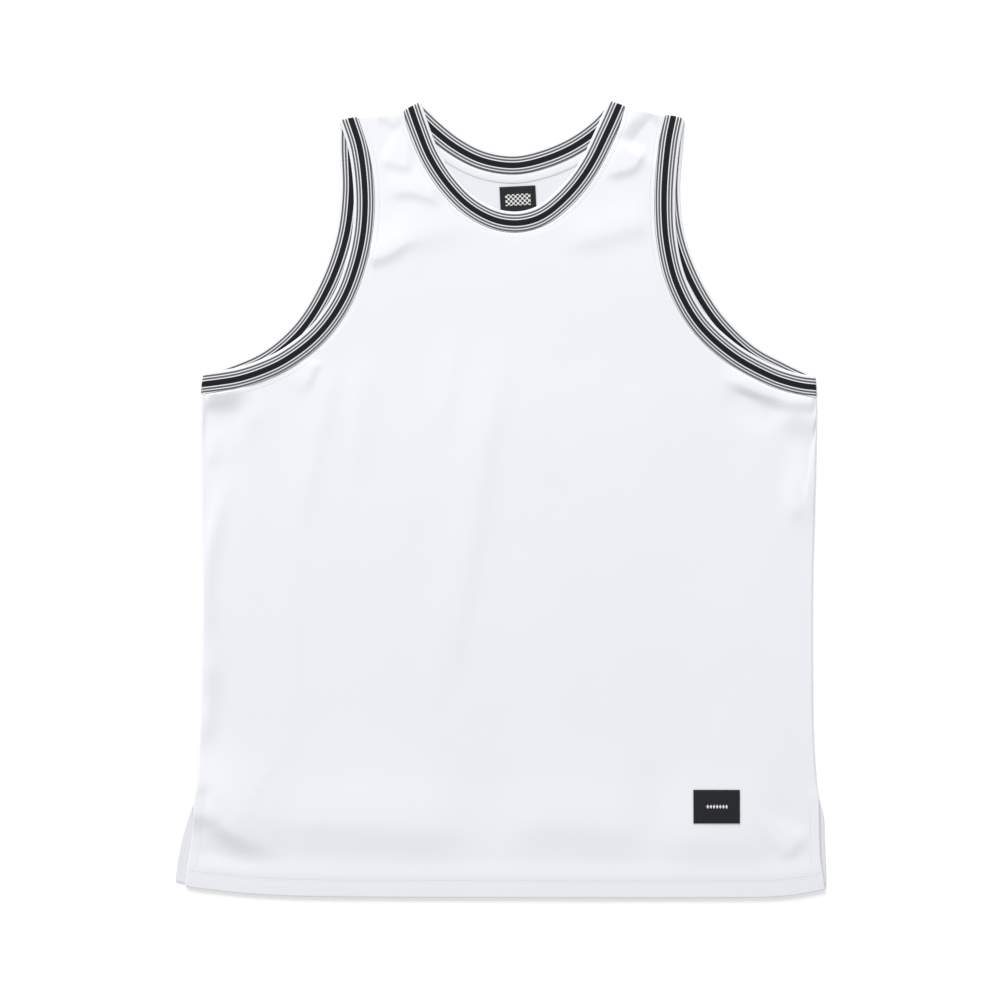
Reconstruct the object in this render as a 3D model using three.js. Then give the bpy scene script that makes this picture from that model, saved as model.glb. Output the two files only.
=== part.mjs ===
// A sleeveless basketball jersey laid flat on a surface with its front up, a men's size L.
// Millimetres, +Z up. X runs to the right as seen from above and Y from the hem to the shoulders. The
// origin is the middle of the outline, on the surface that the jersey lies on.
// Two mesh knit panels lie one on the other and meet at the side and shoulder folds. Three closed rings
// of striped rib trim the neck and the armholes. A tape covers the back neck seam inside, and one woven
// label is sewn inside the back neck and another above the front hem.

import * as THREE from "three";
import { mergeVertices } from "three/addons/utils/BufferGeometryUtils.js";

// Thickness of each kind of cloth, and the gap left between pieces that are sewn or lie together
const CLOTH = 1.2;
const RIB = 2.2;
const TAPE = 1.0;
const WOVEN_LABEL = 0.8;
const TURN = 1.0; // the second layer of a turned hem
const GAP = 0.3;

// Heights above the surface of what faces up
const TAPE_TOP = CLOTH + GAP + TAPE;
const BAND_TOP = TAPE_TOP + GAP + RIB;
const PANEL_TOP = BAND_TOP - 0.5;
const HEM_TOP = CLOTH + TURN + GAP + CLOTH + TURN;
const SETTLED_TOP = CLOTH + GAP + CLOTH + 0.1;

// Sewing
const HEM_DEPTH = 17;
const VENT_HEM_WIDTH = 9;
const VENT_TOP_Y = -286;
const VENT_CLOSE = 14; // length over which the side fold closes above the vent
const TAPE_WIDTH = 8;
const BACK_HEM_RISE = 2; // the back hem lies this much above the front one, out of sight
const CHEST_Y = 97; // the middle of the panels, level with the armpits
const MIDDLE_X = 13; // the line down the middle of the panels, through the lowest points of the neck

// The side edges as laid, one row for each height. Front and back part company below the vent top.
const SIDES = [
  { y: 99, frontLeft: -288, backLeft: -288, frontRight: 303.5, backRight: 303.5 },
  { y: 60, frontLeft: -287.5, backLeft: -287.5, frontRight: 303.5, backRight: 303.5 },
  { y: -5, frontLeft: -287.5, backLeft: -287.5, frontRight: 302, backRight: 302 },
  { y: -80, frontLeft: -286.5, backLeft: -286.5, frontRight: 300, backRight: 300 },
  { y: -190, frontLeft: -287.5, backLeft: -287.5, frontRight: 300, backRight: 300 },
  { y: -232, frontLeft: -289.5, backLeft: -289.5, frontRight: 301, backRight: 301 },
  { y: -270, frontLeft: -292, backLeft: -292, frontRight: 303.5, backRight: 303.5 },
  { y: -286, frontLeft: -293.2, backLeft: -293.2, frontRight: 305.5, backRight: 305.5 },
  { y: -304, frontLeft: -294.2, backLeft: -299.5, frontRight: 306, backRight: 310.5 },
  { y: -328, frontLeft: -296.7, backLeft: -306.4, frontRight: 306.5, backRight: 311.5 },
  { y: -348, frontLeft: -299.7, backLeft: -310.4, frontRight: 307.5, backRight: 312.5 },
  { y: -366, frontLeft: -302.3, backLeft: -312.4, frontRight: 310.3, backRight: 313 },
  { y: -384, frontLeft: -303.4, backLeft: -313, frontRight: 312, backRight: 313 },
];

// The front hem as laid: it dips to the middle
const HEM = [
  { x: -313, y: -369.5 },
  { x: -298, y: -373 },
  { x: -279, y: -375.5 },
  { x: -240, y: -379.5 },
  { x: -180, y: -382 },
  { x: 0, y: -383 },
  { x: 240, y: -383 },
  { x: 279, y: -381 },
  { x: 313, y: -375 },
];

// Rib bands. Each row is a station across the band: the point on its seam with the panel and the point
// on its free edge. Armholes run from the armpit fold to the shoulder fold.
const ARMHOLES = {
  left: {
    front: [
      { seamX: -288, seamY: 99.5, freeX: -285.5, freeY: 120.8 },
      { seamX: -265, seamY: 103, freeX: -267.7, freeY: 123.3 },
      { seamX: -248, seamY: 106.4, freeX: -252.4, freeY: 126.1 },
      { seamX: -225.8, seamY: 113.5, freeX: -234.3, freeY: 131.9 },
      { seamX: -203.7, seamY: 124, freeX: -214.3, freeY: 141 },
      { seamX: -180.4, seamY: 140.2, freeX: -192.9, freeY: 155.8 },
      { seamX: -162.8, seamY: 157.2, freeX: -178, freeY: 170.2 },
      { seamX: -147.7, seamY: 178.2, freeX: -164.2, freeY: 189.4 },
      { seamX: -135.5, seamY: 203.3, freeX: -153.3, freeY: 212.3 },
      { seamX: -123.9, seamY: 246, freeX: -143.3, freeY: 250.1 },
      { seamX: -120.6, seamY: 290, freeX: -140.8, freeY: 289 },
      { seamX: -125.8, seamY: 330.8, freeX: -145.9, freeY: 335 },
      { seamX: -137, seamY: 367, freeX: -155, freeY: 363.5 },
    ],
    back: [
      { seamX: -288, seamY: 99.5, freeX: -285.5, freeY: 120.8 },
      { seamX: -251.7, seamY: 110.3, freeX: -257.3, freeY: 129.7 },
      { seamX: -217.1, seamY: 126.6, freeX: -226.7, freeY: 144.1 },
      { seamX: -182.6, seamY: 157.1, freeX: -196.8, freeY: 171.3 },
      { seamX: -155.1, seamY: 202.7, freeX: -173.4, freeY: 210.9 },
      { seamX: -139.3, seamY: 249.9, freeX: -158.8, freeY: 254.5 },
      { seamX: -134, seamY: 295, freeX: -154.1, freeY: 295 },
      { seamX: -134, seamY: 338, freeX: -155.3, freeY: 337 },
      { seamX: -137, seamY: 367, freeX: -155, freeY: 363.5 },
    ],
  },
  right: {
    front: [
      { seamX: 303.5, seamY: 96, freeX: 302.5, freeY: 118 },
      { seamX: 289.4, seamY: 99.1, freeX: 291, freeY: 119.3 },
      { seamX: 274.1, seamY: 102.4, freeX: 278.5, freeY: 122.2 },
      { seamX: 255.6, seamY: 109, freeX: 262.6, freeY: 127.9 },
      { seamX: 214.9, seamY: 132.2, freeX: 227.7, freeY: 147.6 },
      { seamX: 181.4, seamY: 164.5, freeX: 197, freeY: 176.7 },
      { seamX: 159.7, seamY: 204.1, freeX: 178, freeY: 212.2 },
      { seamX: 150, seamY: 245, freeX: 169.6, freeY: 248.1 },
      { seamX: 147.8, seamY: 290, freeX: 167.8, freeY: 290.5 },
      { seamX: 151.5, seamY: 336.8, freeX: 172.1, freeY: 340.3 },
      { seamX: 158.5, seamY: 369, freeX: 177, freeY: 365.3 },
    ],
    back: [
      { seamX: 303.5, seamY: 96, freeX: 302.5, freeY: 118 },
      { seamX: 267.2, seamY: 113.6, freeX: 273.3, freeY: 132 },
      { seamX: 233.9, seamY: 131.7, freeX: 243.7, freeY: 148.8 },
      { seamX: 198.5, seamY: 166, freeX: 212.6, freeY: 180.1 },
      { seamX: 172.9, seamY: 208, freeX: 190.9, freeY: 216.9 },
      { seamX: 157.6, seamY: 252.1, freeX: 177, freeY: 256.3 },
      { seamX: 152.9, seamY: 296, freeX: 172.6, freeY: 296 },
      { seamX: 154.5, seamY: 337, freeX: 175.3, freeY: 338.1 },
      { seamX: 158.5, seamY: 369, freeX: 177, freeY: 365.3 },
    ],
  },
};

// The neck runs from the left shoulder fold to the right one
const NECK = {
  front: [
    { seamX: -93, seamY: 373, freeX: -76.5, freeY: 381.5 },
    { seamX: -89.6, seamY: 356.2, freeX: -69.9, freeY: 361.8 },
    { seamX: -77.7, seamY: 326.3, freeX: -59.7, freeY: 335.1 },
    { seamX: -59.9, seamY: 297.7, freeX: -43.7, freeY: 309.5 },
    { seamX: -37.9, seamY: 274.7, freeX: -25.1, freeY: 290.1 },
    { seamX: -11.2, seamY: 259.7, freeX: -4.4, freeY: 278.6 },
    { seamX: 13, seamY: 255.2, freeX: 13, freeY: 275.6 },
    { seamX: 34.5, seamY: 258.8, freeX: 27.7, freeY: 277.8 },
    { seamX: 52.5, seamY: 267.8, freeX: 41, freeY: 284.3 },
    { seamX: 76.5, seamY: 289.8, freeX: 61.1, freeY: 303.1 },
    { seamX: 95, seamY: 316.2, freeX: 77.4, freeY: 325.9 },
    { seamX: 112.2, seamY: 351.4, freeX: 92.6, freeY: 357.3 },
    { seamX: 120, seamY: 377, freeX: 103.8, freeY: 382.5 },
  ],
  back: [
    { seamX: -93, seamY: 373, freeX: -76.5, freeY: 381.5 },
    { seamX: -73.2, seamY: 350.8, freeX: -57.3, freeY: 363.1 },
    { seamX: -47.8, seamY: 330.4, freeX: -37.6, freeY: 347.5 },
    { seamX: -19.6, seamY: 316.5, freeX: -14.5, freeY: 335.7 },
    { seamX: 13, seamY: 311.5, freeX: 13, freeY: 331.4 },
    { seamX: 44, seamY: 317.3, freeX: 38.7, freeY: 336.7 },
    { seamX: 73, seamY: 329.8, freeX: 65.7, freeY: 348.4 },
    { seamX: 98, seamY: 348, freeX: 87.6, freeY: 364.2 },
    { seamX: 120, seamY: 377, freeX: 103.8, freeY: 382.5 },
  ],
};

// The largest folds of the front, as soft ridges (rise above 0) and troughs between two points
const FOLDS = [
  { name: "centre drape", x1: 2, y1: 165, x2: -17, y2: 15, rise: 2.2, width: 17 },
  { name: "centre drape, lower", x1: -17, y1: 15, x2: -60, y2: -190, rise: 2.6, width: 20 },
  { name: "left drape", x1: -158, y1: 150, x2: -188, y2: 0, rise: 2.0, width: 18 },
  { name: "left drape, lower", x1: -190, y1: 0, x2: -196, y2: -235, rise: 2.2, width: 20 },
  { name: "left side roll", x1: -268, y1: 40, x2: -272, y2: -200, rise: 2.4, width: 15 },
  { name: "right side roll", x1: 283, y1: 20, x2: 280, y2: -230, rise: 1.8, width: 14 },
  { name: "left chest crease", x1: -112, y1: 226, x2: -30, y2: 258, rise: 2.8, width: 11 },
  { name: "right chest crease", x1: 78, y1: 246, x2: 134, y2: 258, rise: 2.0, width: 11 },
  { name: "right armpit crease", x1: 230, y1: 109, x2: 292, y2: 84, rise: 2.6, width: 9 },
  { name: "left armpit crease", x1: -276, y1: 90, x2: -240, y2: 94, rise: 1.8, width: 8 },
  { name: "left vent dent", x1: -280, y1: -322, x2: -222, y2: -346, rise: -2.0, width: 10 },
  { name: "above the left vent dent", x1: -270, y1: -294, x2: -205, y2: -328, rise: 3.2, width: 13 },
  { name: "right vent crease", x1: 272, y1: -344, x2: 296, y2: -318, rise: 2.4, width: 9 },
  { name: "hem swell, left", x1: -150, y1: -308, x2: -20, y2: -312, rise: 1.8, width: 18 },
  { name: "hem swell, right", x1: 20, y1: -312, x2: 160, y2: -310, rise: 1.6, width: 18 },
  { name: "left strap crease", x1: -112, y1: 283, x2: -66, y2: 290, rise: 1.6, width: 8 },
  { name: "right strap crease", x1: 104, y1: 312, x2: 134, y2: 330, rise: 1.6, width: 8 },
];
const FOLD_FADE = 16; // folds die out over this distance from a band

// Labels as laid: centre, size and turn
const HEM_LABEL = { x: 207.2, y: -295.2, width: 44.5, height: 32, turn: 0 };
const NECK_LABEL = { x: 16.8, y: 287.2, width: 34.5, height: 26, turn: 0.05 };

// Mesh steps
const FRONT_STEPS = { body: 18, chest: 9, strap: 9, across: 18 };
const BACK_STEPS = { body: 8, chest: 9, strap: 8, across: 6 };
const EDGE_ANGLES = [0, 30, 60, 90].map((degrees) => (degrees * Math.PI) / 180);
const BAND_ACROSS = [0, 0.3, 0.65, 0.93, 1];
const BAND_ROUNDING = [0.15, 0, 0, 0.15, 0.6]; // how far each face draws in at those points

// A smooth curve through points, as a function of the distance along it
function curveThrough(points) {
  const curve = new THREE.CatmullRomCurve3(points.map(([x, y]) => new THREE.Vector3(x, y, 0)));
  curve.arcLengthDivisions = 400;
  const length = curve.getLength();
  const share = (distance) => THREE.MathUtils.clamp(distance / length, 0, 1);
  return {
    length,
    at: (distance) => curve.getPointAt(share(distance)),
    tangent: (distance) => curve.getTangentAt(share(distance)),
  };
}

const seamCurve = (rows) => curveThrough(rows.map((row) => [row.seamX, row.seamY]));
const freeCurve = (rows) => curveThrough(rows.map((row) => [row.freeX, row.freeY]));

// Smooth reading of a table: the value of one column where another column has a given value
function readTable(rows, keyColumn, column, key) {
  const ordered = [...rows].sort((a, b) => a[keyColumn] - b[keyColumn]);
  const last = ordered.length - 1;
  const clamped = THREE.MathUtils.clamp(key, ordered[0][keyColumn], ordered[last][keyColumn]);
  let i = 0;
  while (i < last - 1 && ordered[i + 1][keyColumn] < clamped) i += 1;
  const change = (a, b, name) => ordered[b][name] - ordered[a][name];
  const slope = (a, b) => change(a, b, column) / change(a, b, keyColumn);
  const span = change(i, i + 1, keyColumn);
  const t = (clamped - ordered[i][keyColumn]) / span;
  const startSlope = slope(Math.max(i - 1, 0), i + 1);
  const endSlope = slope(i, Math.min(i + 2, last));
  const cubic = 2 * t ** 3 - 3 * t ** 2;
  return (
    ordered[i][column] * (cubic + 1) -
    ordered[i + 1][column] * cubic +
    span * startSlope * (t ** 3 - 2 * t ** 2 + t) +
    span * endSlope * (t ** 3 - t ** 2)
  );
}

const SIDE_COLUMNS = {
  front: { left: "frontLeft", right: "frontRight" },
  back: { left: "backLeft", right: "backRight" },
};
const sideX = (layer, side, y) => readTable(SIDES, "y", SIDE_COLUMNS[layer][side], y);
const hemY = (x) => readTable(HEM, "x", "y", x);
const smooth = (value, from, to) => THREE.MathUtils.smoothstep((value - from) / (to - from), 0, 1);

// Height of one fold at a point: a bell across it and a soft fade beyond its ends
function foldHeight(fold, x, y) {
  const alongX = fold.x2 - fold.x1;
  const alongY = fold.y2 - fold.y1;
  const share = ((x - fold.x1) * alongX + (y - fold.y1) * alongY) / (alongX ** 2 + alongY ** 2);
  const nearest = THREE.MathUtils.clamp(share, 0, 1);
  const distance = Math.hypot(x - fold.x1 - nearest * alongX, y - fold.y1 - nearest * alongY);
  return fold.rise * Math.exp(-((distance / fold.width) ** 2));
}

// Height of the front's outer face before its edges fold under. Shown is 0 beside a band and 1 away from
// it. Turned hems are thicker, and there the front never settles lower than the back allows.
function frontLevel(x, y, shown) {
  const settled = smooth(Math.abs(x), 265, 150) * smooth(y, -335, -260) * smooth(y, 235, 120);
  const flat = THREE.MathUtils.lerp(PANEL_TOP, SETTLED_TOP, settled);
  const side = x < 0 ? "left" : "right";
  const fromSide = Math.abs(x - sideX("front", side, y));
  const hem = smooth(y - hemY(x), HEM_DEPTH + 14, HEM_DEPTH + BACK_HEM_RISE + 1);
  const inVent = smooth(fromSide, VENT_HEM_WIDTH + 10, VENT_HEM_WIDTH + 1);
  const vent = smooth(y, VENT_TOP_Y + VENT_CLOSE, VENT_TOP_Y) * inVent;
  const sewn = Math.max(hem, vent);
  const folds = FOLDS.reduce((sum, fold) => sum + foldHeight(fold, x, y), 0) * shown * (1 - sewn);
  const lowest = THREE.MathUtils.lerp(SETTLED_TOP, HEM_TOP, sewn);
  return Math.max(THREE.MathUtils.lerp(flat, HEM_TOP, sewn) + folds, lowest);
}

// How far a folded edge has turned under at a distance in from it, and the slope there. Both layers turn
// through a quarter circle and stop half a gap short of each other.
function edgeTurn(distance, radius) {
  const start = GAP / 2;
  const inward = Math.max(distance, radius - Math.sqrt(radius ** 2 - start ** 2));
  if (inward >= radius) return { drop: 0, slope: 0 };
  const rise = Math.sqrt(radius ** 2 - (radius - inward) ** 2);
  return { drop: radius - rise, slope: (radius - inward) / rise };
}

// The straight shoulder fold of one side, as a point on it and the direction down into the panel
function shoulderLine(side) {
  const arm = ARMHOLES[side].front.at(-1);
  const neck = side === "left" ? NECK.front[0] : NECK.front.at(-1);
  const along = new THREE.Vector2(neck.seamX - arm.seamX, neck.seamY - arm.seamY).normalize();
  const down = new THREE.Vector2(along.y, -along.x);
  if (down.y > 0) down.negate();
  return { x: arm.seamX, y: arm.seamY, down };
}
const SHOULDERS = { left: shoulderLine("left"), right: shoulderLine("right") };

// Outer face of the front or back at a point: its position and the way it faces
function faceAt(layer, x, y, shown = 1) {
  const top = frontLevel(x, y, shown);
  const radius = (top - GAP / 2) / 2 + GAP / 4;
  const side = x < 0 ? "left" : "right";
  const inward = x < 0 ? 1 : -1;
  const closed = smooth(y, VENT_TOP_Y, VENT_TOP_Y + VENT_CLOSE);
  const sideTurn = edgeTurn(Math.abs(x - sideX(layer, side, y)), radius);
  const shoulder = SHOULDERS[side];
  const fromShoulder = (x - shoulder.x) * shoulder.down.x + (y - shoulder.y) * shoulder.down.y;
  const shoulderTurn = edgeTurn(y > VENT_TOP_Y ? Math.max(fromShoulder, 0) : radius, radius);
  const drop = Math.max(sideTurn.drop * closed, shoulderTurn.drop);
  const bySide = sideTurn.drop * closed >= shoulderTurn.drop;
  const slope = bySide ? sideTurn.slope * closed : shoulderTurn.slope;
  const slopeX = slope * (bySide ? inward : shoulder.down.x);
  const slopeY = slope * (bySide ? 0 : shoulder.down.y);
  if (layer === "back") {
    const normal = new THREE.Vector3(-slopeX, -slopeY, -1).normalize();
    return { point: new THREE.Vector3(x, y, drop), normal };
  }
  const step = 0.5;
  const tiltX = (frontLevel(x + step, y, shown) - frontLevel(x - step, y, shown)) / (2 * step);
  const tiltY = (frontLevel(x, y + step, shown) - frontLevel(x, y - step, shown)) / (2 * step);
  const normal = new THREE.Vector3(-slopeX - tiltX, -slopeY - tiltY, 1).normalize();
  return { point: new THREE.Vector3(x, y, top - drop), normal };
}

// Turns the level part of a direction to run along a seam, so that a wall's edge stays on that seam
function turnAlong(direction, seam) {
  const level = Math.hypot(direction.x, direction.y);
  const sense = Math.sign(direction.x * seam.x + direction.y * seam.y) || 1;
  direction.x = level * sense * seam.x;
  direction.y = level * sense * seam.y;
}

// A closed wall between an outer and an inner face that share their triangles
function wallBetween(outer, inner, triangles) {
  const count = outer.length;
  const directed = new Set(triangles.flatMap(([a, b, c]) => [`${a}>${b}`, `${b}>${c}`, `${c}>${a}`]));
  const faces = [...triangles];
  triangles.forEach(([a, b, c]) => faces.push([c + count, b + count, a + count]));
  triangles.forEach(([a, b, c]) => {
    [[a, b], [b, c], [c, a]].forEach(([from, to]) => {
      if (directed.has(`${to}>${from}`)) return;
      faces.push([to, from, from + count], [to, from + count, to + count]);
    });
  });
  const geometry = new THREE.BufferGeometry().setFromPoints([...outer, ...inner]);
  geometry.setIndex(faces.flat());
  return mergeVertices(geometry, 1e-4);
}

// Triangles of a grid of point numbers, turned over where the grid runs the other way
function gridTriangles(grid, flipped, closed = false) {
  const triangles = [];
  const rows = closed ? grid.length : grid.length - 1;
  for (let r = 0; r < rows; r += 1) {
    const near = grid[r];
    const far = grid[(r + 1) % grid.length];
    for (let c = 0; c + 1 < near.length; c += 1) {
      const quad = [near[c], near[c + 1], far[c + 1], far[c]];
      if (flipped) quad.reverse();
      triangles.push([quad[0], quad[1], quad[2]], [quad[0], quad[2], quad[3]]);
    }
  }
  return triangles;
}

// Distances along a seam of given length at which rows and band sections stand: close together where the
// seam turns round a fold at either end, and even between
function seamSteps(length, turnedStart, evenCount) {
  const reach = BAND_TOP / 2;
  const turn = EDGE_ANGLES.map((angle) => reach * (1 - Math.cos(angle)));
  const start = turnedStart ? turn : [0];
  const from = start.at(-1);
  const to = length - reach;
  const even = Array.from({ length: evenCount - 1 }, (_, i) => from + ((to - from) * (i + 1)) / evenCount);
  return [...start, ...even, ...turn.map((d) => length - d).reverse()];
}

// Where the neck seam of one side starts and which way it runs, from its lowest point to the shoulder
function neckHalf(layer, side) {
  const whole = seamCurve(NECK[layer]);
  let low = 0;
  let high = whole.length;
  while (high - low > 1e-6) {
    const middle = (low + high) / 2;
    if (whole.at(middle).x < MIDDLE_X) low = middle;
    else high = middle;
  }
  const length = side === "left" ? low : whole.length - low;
  const place = (distance) => (side === "left" ? low - distance : low + distance);
  return {
    length,
    low,
    at: (distance) => whole.at(place(distance)),
    tangent: (distance) => whole.tangent(place(distance)),
  };
}

// Points of one half of a panel: rows from the hem to the shoulder, columns from the outer edge inwards.
// Shown is how far the folds reach a point, and along is the way the seam runs at a point on it.
function halfPanel(layer, side, steps) {
  const armhole = seamCurve(ARMHOLES[side][layer]);
  const neck = neckHalf(layer, side);
  const rise = layer === "back" ? BACK_HEM_RISE : 0;
  const centreX = neck.at(0).x;
  const armpit = armhole.at(0);
  const rows = [];

  const closedY = VENT_TOP_Y + VENT_CLOSE;
  const bodyLevels = Array.from({ length: steps.body }, (_, i) => {
    return THREE.MathUtils.lerp(closedY, CHEST_Y, i / steps.body);
  });
  const rowHeights = [
    ...[0, HEM_DEPTH - 0.5, HEM_DEPTH + 0.5].map((height) => (x) => hemY(x) + rise + height),
    ...[VENT_TOP_Y - 44, VENT_TOP_Y - 22, VENT_TOP_Y, ...bodyLevels].map((y) => () => y),
  ];
  rowHeights.forEach((heightAt) => {
    const outerX = sideX(layer, side, heightAt(armpit.x));
    rows.push(columns(Math.abs(outerX - centreX), steps.across).map((inward) => {
      const x = outerX + Math.sign(centreX - outerX) * inward;
      return { x, y: heightAt(x), shown: 1 };
    }));
  });

  const seam = seamSteps(armhole.length, true, steps.chest + steps.strap);
  const firstEven = EDGE_ANGLES.length - 1;
  const firstStrap = firstEven + steps.chest;
  const neckSeam = seamSteps(neck.length, false, steps.strap);
  seam.forEach((distance, i) => {
    const outer = armhole.at(distance);
    const onNeck = i >= firstStrap;
    const chestShare = Math.max(0.005 * i, (i - firstEven) / steps.chest);
    const centreY = THREE.MathUtils.lerp(CHEST_Y, neck.at(0).y, chestShare);
    const centre = onNeck ? neck.at(neckSeam[i - firstStrap]) : new THREE.Vector3(centreX, centreY, 0);
    const length = outer.distanceTo(centre);
    const places = columns(length, steps.across);
    rows.push(places.map((inward, column) => {
      const point = outer.clone().lerp(centre, inward / length);
      const fromNeck = onNeck ? length - inward : point.distanceTo(neck.at(0));
      const shown = smooth(Math.min(inward, fromNeck), 0, FOLD_FADE);
      const onNeckSeam = onNeck && column === places.length - 1;
      const neckWay = onNeckSeam ? neck.tangent(neckSeam[i - firstStrap]) : null;
      return { x: point.x, y: point.y, shown, along: column === 0 ? armhole.tangent(distance) : neckWay };
    }));
  });
  return rows;
}

// Distances in from the outer edge at which the columns stand: close together where the edge turns
// under, one either side of a vent hem's stitching, and then even
function columns(length, evenCount) {
  const turned = EDGE_ANGLES.map((angle) => (PANEL_TOP / 2) * (1 - Math.cos(angle)));
  const set = [...turned, VENT_HEM_WIDTH - 0.5, VENT_HEM_WIDTH + 0.5];
  const even = Array.from({ length: evenCount }, (_, i) => (i + 1) / evenCount);
  return [...set, ...even.map((share) => THREE.MathUtils.lerp(set.at(-1), length, share))];
}

// Cloth is two layers thick in the turned hem and along the vents
function clothThickness(layer, x, y) {
  const side = x < 0 ? "left" : "right";
  const rise = layer === "back" ? BACK_HEM_RISE : 0;
  const inHem = y - hemY(x) - rise < HEM_DEPTH;
  const inVent = y < VENT_TOP_Y && Math.abs(x - sideX(layer, side, y)) < VENT_HEM_WIDTH;
  return CLOTH + (inHem || inVent ? TURN : 0);
}

// A front or back panel: two halves joined down the middle as far as the neck
function panelGeometry(layer, steps) {
  const outer = [];
  const inner = [];
  const numbers = new Map();
  const numberOf = ({ x, y, shown, along }) => {
    const key = `${x.toFixed(3)},${y.toFixed(3)}`;
    if (!numbers.has(key)) {
      const { point, normal } = faceAt(layer, x, y, shown);
      if (along) turnAlong(normal, along);
      numbers.set(key, outer.length);
      outer.push(point);
      inner.push(point.clone().addScaledVector(normal, -clothThickness(layer, x, y)));
    }
    return numbers.get(key);
  };
  const triangles = ["left", "right"].flatMap((side) => {
    const grid = halfPanel(layer, side, steps).map((row) => row.map(numberOf));
    return gridTriangles(grid, (side === "right") === (layer === "front"));
  });
  return wallBetween(outer, inner, triangles);
}

// Sections of one half of a rib ring from one fold to the other, each as points across the band. At a
// fold the band turns through a quarter circle, along its seam and its free edge.
function bandHalf(layer, rows, distances) {
  const seam = seamCurve(rows);
  const free = freeCurve(rows);
  const reach = BAND_TOP / 2;
  const up = layer === "front" ? 1 : -1;
  return distances.map((distance) => {
    const first = distance < seam.length / 2;
    const fromEnd = first ? distance : seam.length - distance;
    const turned = Math.min(fromEnd / reach, 1);
    const angle = Math.acos(1 - turned);
    const stretch = (free.length - 2 * reach) / (seam.length - 2 * reach);
    const freeFromEnd = turned < 1 ? fromEnd : reach + (fromEnd - reach) * stretch;
    const seamPoint = seam.at(distance);
    const freePoint = free.at(first ? freeFromEnd : free.length - freeFromEnd);
    const seamOut = seam.tangent(first ? 0 : seam.length).multiplyScalar(first ? -1 : 1);
    const freeOut = free.tangent(first ? 0 : free.length).multiplyScalar(first ? -1 : 1);
    const height = reach + up * reach * Math.sin(angle);
    const start = GAP / seamPoint.distanceTo(freePoint);
    return BAND_ACROSS.map((across, i) => {
      const place = THREE.MathUtils.lerp(start, 1, across);
      const out = seamOut.clone().lerp(freeOut, place).normalize();
      const normal = out.multiplyScalar(Math.cos(angle)).setZ(up * Math.sin(angle));
      const point = seamPoint.clone().lerp(freePoint, place).setZ(height);
      point.addScaledVector(normal, -BAND_ROUNDING[i]);
      return { point, normal, thickness: RIB - 2 * BAND_ROUNDING[i] };
    });
  });
}

// A ring of rib: its front half and its back half, joined at both folds
function bandGeometry(frontRows, backRows, frontSteps, backSteps, flipped) {
  const front = bandHalf("front", frontRows, frontSteps).slice(1, -1);
  const back = bandHalf("back", backRows, backSteps).reverse();
  const sections = [...front, ...back];
  const outer = sections.flat().map(({ point }) => point);
  const inner = sections.flat().map(({ point, normal, thickness }) => {
    return point.clone().addScaledVector(normal, -thickness);
  });
  const across = BAND_ACROSS.length;
  const grid = sections.map((_, r) => BAND_ACROSS.map((_place, c) => r * across + c));
  return wallBetween(outer, inner, gridTriangles(grid, flipped, true));
}

function armholeBand(side) {
  const { front, back } = ARMHOLES[side];
  const steps = (layer, rows) => {
    const counts = layer === "front" ? FRONT_STEPS : BACK_STEPS;
    return seamSteps(seamCurve(rows).length, true, counts.chest + counts.strap);
  };
  return bandGeometry(front, back, steps("front", front), steps("back", back), side === "left");
}

// Neck sections stand at the panel's own rows, counted both ways from the lowest point
function neckSteps(layer) {
  const counts = layer === "front" ? FRONT_STEPS : BACK_STEPS;
  const left = neckHalf(layer, "left");
  const right = neckHalf(layer, "right");
  const leftSteps = seamSteps(left.length, false, counts.strap).map((d) => left.low - d);
  const rightSteps = seamSteps(right.length, false, counts.strap).map((d) => right.low + d);
  return [...leftSteps.reverse(), ...rightSteps.slice(1)];
}

function neckBand() {
  return bandGeometry(NECK.front, NECK.back, neckSteps("front"), neckSteps("back"), true);
}

// The tape over the back neck seam, on the inside of the back panel
function tapeGeometry() {
  const seam = seamCurve(NECK.back);
  const count = 22;
  const margin = 14;
  const outer = [];
  const grid = [];
  for (let i = 0; i <= count; i += 1) {
    const distance = margin + ((seam.length - 2 * margin) * i) / count;
    const point = seam.at(distance);
    const along = seam.at(distance + 1).sub(seam.at(distance - 1)).normalize();
    const into = new THREE.Vector3(along.y, -along.x, 0);
    grid.push([GAP, GAP + TAPE_WIDTH].map((place) => {
      outer.push(point.clone().addScaledVector(into, place).setZ(TAPE_TOP));
      return outer.length - 1;
    }));
  }
  const inner = outer.map((point) => point.clone().setZ(TAPE_TOP - TAPE));
  return wallBetween(outer, inner, gridTriangles(grid, false));
}

// A woven label, laid a gap above a surface that is given as a function of a point
function labelGeometry(label, surface) {
  const across = 6;
  const down = 4;
  const outer = [];
  const inner = [];
  const grid = [];
  for (let r = 0; r <= down; r += 1) {
    const row = [];
    for (let c = 0; c <= across; c += 1) {
      const place = new THREE.Vector2(label.width * (c / across - 0.5), label.height * (r / down - 0.5));
      place.rotateAround(new THREE.Vector2(), label.turn).add(new THREE.Vector2(label.x, label.y));
      const point = new THREE.Vector3(place.x, place.y, surface(place.x, place.y) + GAP);
      row.push(outer.length);
      inner.push(point);
      outer.push(point.clone().setZ(point.z + WOVEN_LABEL));
    }
    grid.push(row);
  }
  return wallBetween(outer, inner, gridTriangles(grid, false));
}

// Height of a built piece where a line straight down first meets it
function heightOn(geometry) {
  const mesh = new THREE.Mesh(geometry, new THREE.MeshBasicMaterial());
  const down = new THREE.Vector3(0, 0, -1);
  return (x, y) => new THREE.Raycaster(new THREE.Vector3(x, y, 50), down).intersectObject(mesh)[0].point.z;
}

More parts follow.
